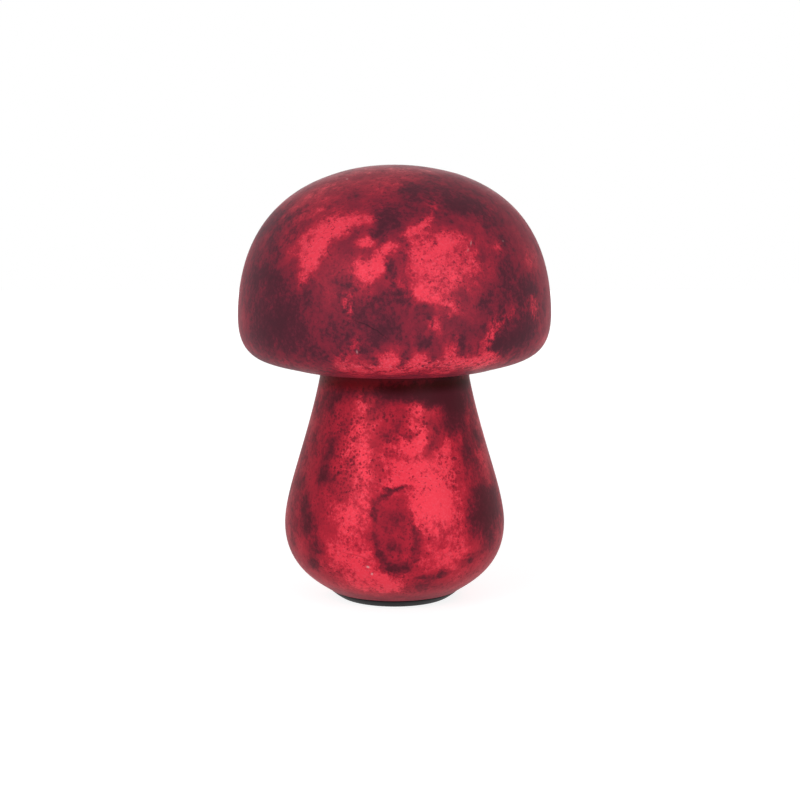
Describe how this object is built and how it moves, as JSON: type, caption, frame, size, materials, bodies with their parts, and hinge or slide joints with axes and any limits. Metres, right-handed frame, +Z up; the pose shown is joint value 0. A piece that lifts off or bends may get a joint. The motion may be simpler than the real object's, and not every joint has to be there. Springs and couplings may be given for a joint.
{
  "type": "garden mushroom ornament",
  "caption": "Blown glass mushroom with a mottled silvered red finish, standing on a black battery light unit with lamps inside, a slide switch and a screwed battery door.",
  "frame": {"origin": "middle of the ring that the black foot rests on, on the table", "axes": "+Z up through the cap, -Y towards the viewer in the picture (the side of the switch), +X to the viewer's right"},
  "size_m": [0.126, 0.126, 0.175],
  "materials": {
    "silvered_red_glass": "satin red over a mottled mirror",
    "clear_silicone": "satin",
    "black_plastic": "satin black",
    "cell_sleeve": "printed sleeve, satin",
    "nickel_contact": "nickel plated",
    "screw_steel": "zinc plated",
    "green_board": "solder mask",
    "led_resin": "clear resin",
    "chip_black": "matte",
    "crystal_can": "tinned can",
    "resistor_tan": "lacquered",
    "capacitor_sleeve": "shrink sleeve",
    "switch_shell": "plated shell",
    "pale_knob": "matte",
    "red_wire": "insulation",
    "black_wire": "insulation",
    "white_wire": "insulation"
  },
  "bodies": {
    "ornament": {"glass_body": "silvered_red_glass", "silicone_bead": "clear_silicone", "light_unit_housing": "black_plastic", "upper_contact_plate": "nickel_contact", "upper_contact_spring": "nickel_contact", "board_screw_front": "screw_steel", "board_screw_rear": "screw_steel", "circuit_board": "green_board", "led_left": "led_resin", "led_middle": "led_resin", "led_right": "led_resin", "timer_chip": "chip_black", "clock_crystal": "crystal_can", "resistor": "resistor_tan", "capacitor": "capacitor_sleeve", "switch_case": "switch_shell", "wire_on": "red_wire", "wire_common": "black_wire", "wire_timer": "white_wire"},
    "door": {"battery_door": "black_plastic", "door_contact_strip": "nickel_contact"},
    "cells": {"cell_upright": "cell_sleeve", "cell_inverted": "cell_sleeve"},
    "screw_front": {"door_screw_front": "screw_steel"},
    "screw_rear": {"door_screw_rear": "screw_steel"},
    "switch": {"switch_knob": "pale_knob"}
  },
  "joints": [
    {"name": "door_lift", "type": "slide", "parent": "ornament", "child": "door", "axis": [0, 0, -1], "range_m": [0, 0.07]},
    {"name": "cells_slide", "type": "slide", "parent": "ornament", "child": "cells", "axis": [0, 0, -1], "range_m": [0, 0.062]},
    {"name": "door_screw_front_turn", "type": "hinge", "parent": "door", "child": "screw_front", "pos_m": [0, -0.00665, 0.0024], "axis": [0, 0, 1], "continuous": true},
    {"name": "door_screw_rear_turn", "type": "hinge", "parent": "door", "child": "screw_rear", "pos_m": [0, 0.00665, 0.0024], "axis": [0, 0, 1], "continuous": true},
    {"name": "switch_slide", "type": "slide", "parent": "ornament", "child": "switch", "axis": [1, 0, 0], "range_m": [-0.002, 0.002]}
  ],
  "couplings": [
    {"joint": "cells_slide", "follows": "door_lift", "ratio": 0.88}
  ]
}
